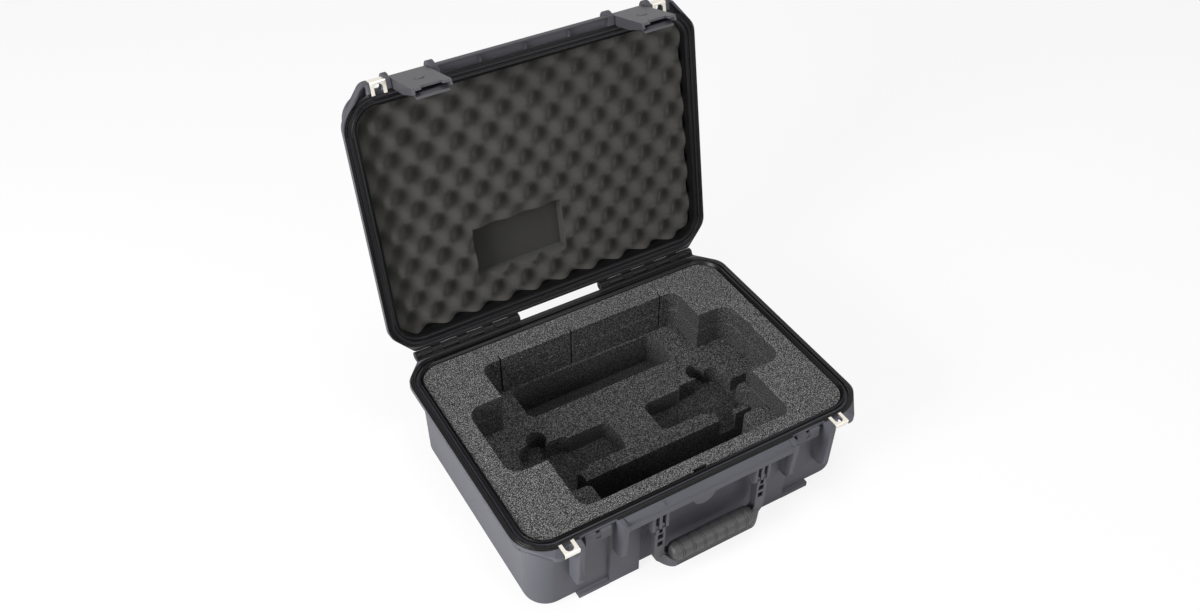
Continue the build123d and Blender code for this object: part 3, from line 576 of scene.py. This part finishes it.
def frame_with_curved_lip():
    """Handle frame whose lip under the grip runs round both corners into the arms."""
    shape = drawn_closed("handle_frame", False)
    for v in shape.verts:
        if 63.5 < abs(v.co.x) < 64.5 and v.co.y < ARM_FRONT + 0.1:
            v.co.x = math.copysign(LIP_HALF - 1, v.co.x)
    turns = [-LIP_TURN + LIP_TURN * step / LIP_STEPS for step in range(LIP_STEPS + 1)]
    turns += [-turn for turn in reversed(turns)]
    for v in tube(shape, len(turns), 48):
        ring = round(v.co.x)
        turn = math.radians(turns[ring])
        share = abs(turns[ring]) / LIP_TURN
        blend = share * share * (3 - 2 * share)
        front = LIP_FRONT + (ARM_FRONT + 0.6 - LIP_FRONT) * blend
        back = LIP_BACK + (ARM_BACK - 0.6 - LIP_BACK) * blend
        reach = LIP_R - LIP_THICK / 2 + squarer(v.co.z, 0.45) * LIP_THICK / 2
        middle = LIP_HALF if ring > LIP_STEPS else -LIP_HALF
        v.co = (middle + reach * math.sin(turn), (front + back) / 2 + squarer(v.co.y, 0.45) * (back - front) / 2,
                LIP_MIDDLE_Z - reach * math.cos(turn))
    bmesh.ops.recalc_face_normals(shape, faces=shape.faces)
    put_in_place("handle_frame_curved", "handle_frame", shape, handle_plastic, "handle", False)


lid_with_low_channel()
base_with_flat_beam()
for side, hand in ((1, "right"), (-1, "left")):
    notched_clip("base_padlock_clip_" + hand, side, "case_base", False)
    notched_clip("lid_padlock_clip_" + hand, side, "lid", True)
ribbed_grip()
frame_with_curved_lip()


def cut_foam(node, edge):
    """Knife cut foam: the node's form with its outer edges eased, as a blade leaves them."""
    shape = bmesh.new()
    shape.from_mesh(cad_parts[node].data)
    bmesh.ops.remove_doubles(shape, verts=shape.verts, dist=0.01 * MM)
    bmesh.ops.dissolve_limit(shape, angle_limit=math.radians(1.5), verts=shape.verts, edges=shape.edges)
    sharp = [e for e in shape.edges
             if len(e.link_faces) == 2 and e.is_convex and e.calc_face_angle(0.0) > math.radians(40)]
    bmesh.ops.bevel(shape, geom=sharp, offset=edge * MM, offset_type="OFFSET", segments=2, profile=0.5,
                    affect="EDGES", material=-1, clamp_overlap=True)
    bmesh.ops.triangulate(shape, faces=shape.faces)
    piece = new_piece(node + "_cut", shape, base_foam_look)
    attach(piece, "case_base")
    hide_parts(node)
    return piece


for node in ("foam_upper_ring", "foam_shelf", "foam_floor_pad", "foam_block_right", "foam_block_left"):
    cut_foam(node, 1.0)


def into_corner(x, y):
    """Pulls a point of the square grid onto the rounded corner of the lid's interior."""
    cx = FOAM_HX - FOAM_R
    cy = FOAM_HY - FOAM_R
    dx = abs(x) - cx
    dy = abs(y) - cy
    reach = math.hypot(dx, dy)
    if dx > 0 and dy > 0 and reach > FOAM_R:
        x = math.copysign(cx + dx * FOAM_R / reach, x)
        y = math.copysign(cy + dy * FOAM_R / reach, y)
    return x, y


def crate(x, y):
    """Height of the convoluted face: 1 on a peak, 0 in a pit, set out like a checkerboard.
    The waves die down towards the pocket's front edge."""
    wave = math.cos(2 * math.pi * (x - BUMP_PHASE_X) / BUMP_X) * math.cos(math.pi * (y - BUMP_PHASE_Y) / BUMP_Y)
    height = 0.5 + 0.5 * wave
    x0, x1, y0, _ = POCKET
    reach = math.hypot(max(x0 - x, x - x1, 0.0), y - y0)
    calm = 1.0 - 0.7 * max(0.0, 1.0 - reach / CALM_WIDTH)
    return 0.62 + (height - 0.62) * calm


def lid_foam():
    """Convoluted foam with a flat pocket, modelled closed and then opened."""
    low = LID_CEILING - SLAB
    step = 2.5
    shape = bmesh.new()
    nx = int(2 * FOAM_HX / step)
    ny = int(2 * FOAM_HY / step)
    bmesh.ops.create_grid(shape, x_segments=nx, y_segments=ny, size=1.0)
    for v in shape.verts:
        v.co.x *= FOAM_HX - 1.0
        v.co.y *= FOAM_HY - 1.0
        v.co.x, v.co.y = into_corner(v.co.x, v.co.y)
    x0, x1, y0, y1 = POCKET
    for point, normal in (((x0, 0, 0), (1, 0, 0)), ((x1, 0, 0), (1, 0, 0)),
                          ((0, y0, 0), (0, 1, 0)), ((0, y1, 0), (0, 1, 0))):
        bmesh.ops.bisect_plane(shape, geom=shape.verts[:] + shape.edges[:] + shape.faces[:],
                               plane_co=point, plane_no=normal)
    for v in shape.verts:
        v.co.z = low + PIT_DEPTH - (BUMP_H + PIT_DEPTH) * crate(v.co.x, v.co.y)
    sunk = [f for f in shape.faces
            if x0 < f.calc_center_median().x < x1 and y0 < f.calc_center_median().y < y1]
    bmesh.ops.inset_region(shape, faces=sunk, thickness=0.4, use_even_offset=True)
    for v in {v for f in sunk for v in f.verts}:
        v.co.z = low + POCKET_DEPTH
    rim = [e for e in shape.edges if e.is_boundary]
    walls = bmesh.ops.extrude_edge_only(shape, edges=rim)
    raised = [v for v in walls["geom"] if isinstance(v, bmesh.types.BMVert)]
    for v in raised:
        v.co.z = LID_CEILING
    top = [e for e in shape.edges if e.is_boundary]
    bmesh.ops.contextual_create(shape, geom=top)
    bmesh.ops.transform(shape, matrix=Matrix.Translation((0, -ORIGIN_Y * MM, 0)) @ Matrix.Scale(MM, 4),
                        verts=shape.verts)
    bmesh.ops.transform(shape, matrix=opened_matrix(), verts=shape.verts)
    bmesh.ops.recalc_face_normals(shape, faces=shape.faces)
    for face in shape.faces:
        face.smooth = True
    piece = new_piece("convoluted_lid_foam", shape, lid_foam_look)
    piece.data.set_sharp_from_angle(angle=math.radians(45))
    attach(piece, "lid")
    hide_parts("lid_foam")


lid_foam()


def backdrop_material():
    """Matt white paper that shows white to the camera and keeps the shadow of the case."""
    material, tree = new_material("white_paper")
    paper = add(tree, "ShaderNodeBsdfDiffuse", {"Color": (0.9, 0.9, 0.9, 1.0)})
    glow = add(tree, "ShaderNodeEmission", {"Color": (1.0, 1.0, 1.0, 1.0), "Strength": 1.0})
    seen = add(tree, "ShaderNodeLightPath")
    share = add(tree, "ShaderNodeMath", {0: seen.outputs["Is Camera Ray"], 1: 0.85}, operation="MULTIPLY")
    finish_material(tree, add(tree, "ShaderNodeMixShader",
                              {0: share.outputs[0], 1: paper.outputs[0], 2: glow.outputs[0]}))
    return material


def place_floor():
    shape = bmesh.new()
    bmesh.ops.create_grid(shape, x_segments=1, y_segments=1, size=6.0)
    floor = new_piece("floor", shape, backdrop_material())


def place_world():
    """Even white studio: full white to the eye and to reflections, softer as light."""
    world = bpy.data.worlds.new("studio")
    world.use_nodes = True
    tree = world.node_tree
    tree.nodes.clear()
    seen = add(tree, "ShaderNodeLightPath")
    direct = add(tree, "ShaderNodeMath",
                 {0: seen.outputs["Is Camera Ray"], 1: seen.outputs["Is Transmission Ray"]}, operation="MAXIMUM")
    either = add(tree, "ShaderNodeMath",
                 {0: direct.outputs[0], 1: seen.outputs["Is Glossy Ray"]}, operation="MAXIMUM")
    strength = add(tree, "ShaderNodeMapRange", {"Value": either.outputs[0], "To Min": 0.27, "To Max": 1.0})
    sky = add(tree, "ShaderNodeBackground",
              {"Color": (1.0, 1.0, 1.0, 1.0), "Strength": strength.outputs["Result"]})
    add(tree, "ShaderNodeOutputWorld", {"Surface": sky.outputs[0]})
    bpy.context.scene.world = world


def area_light(name, place, aim, size, power):
    data = bpy.data.lights.new(name, "AREA")
    data.shape = "DISK"
    data.size = size
    data.energy = power
    lamp = bpy.data.objects.new(name, data)
    bpy.context.scene.collection.objects.link(lamp)
    lamp.location = place
    lamp.rotation_euler = (Vector(aim) - Vector(place)).to_track_quat("-Z", "Y").to_euler()


place_floor()
place_world()
area_light("key", (-2.3, -0.5, 1.1), (0.0, 0.0, 0.15), 1.2, 86.0)
area_light("fill", (0.7, -2.2, 1.2), (0.0, 0.0, 0.15), 1.6, 18.0)
area_light("top", (0.1, -0.1, 2.5), (0.0, 0.0, 0.1), 1.1, 20.0)
bpy.context.scene.view_settings.view_transform = "Standard"
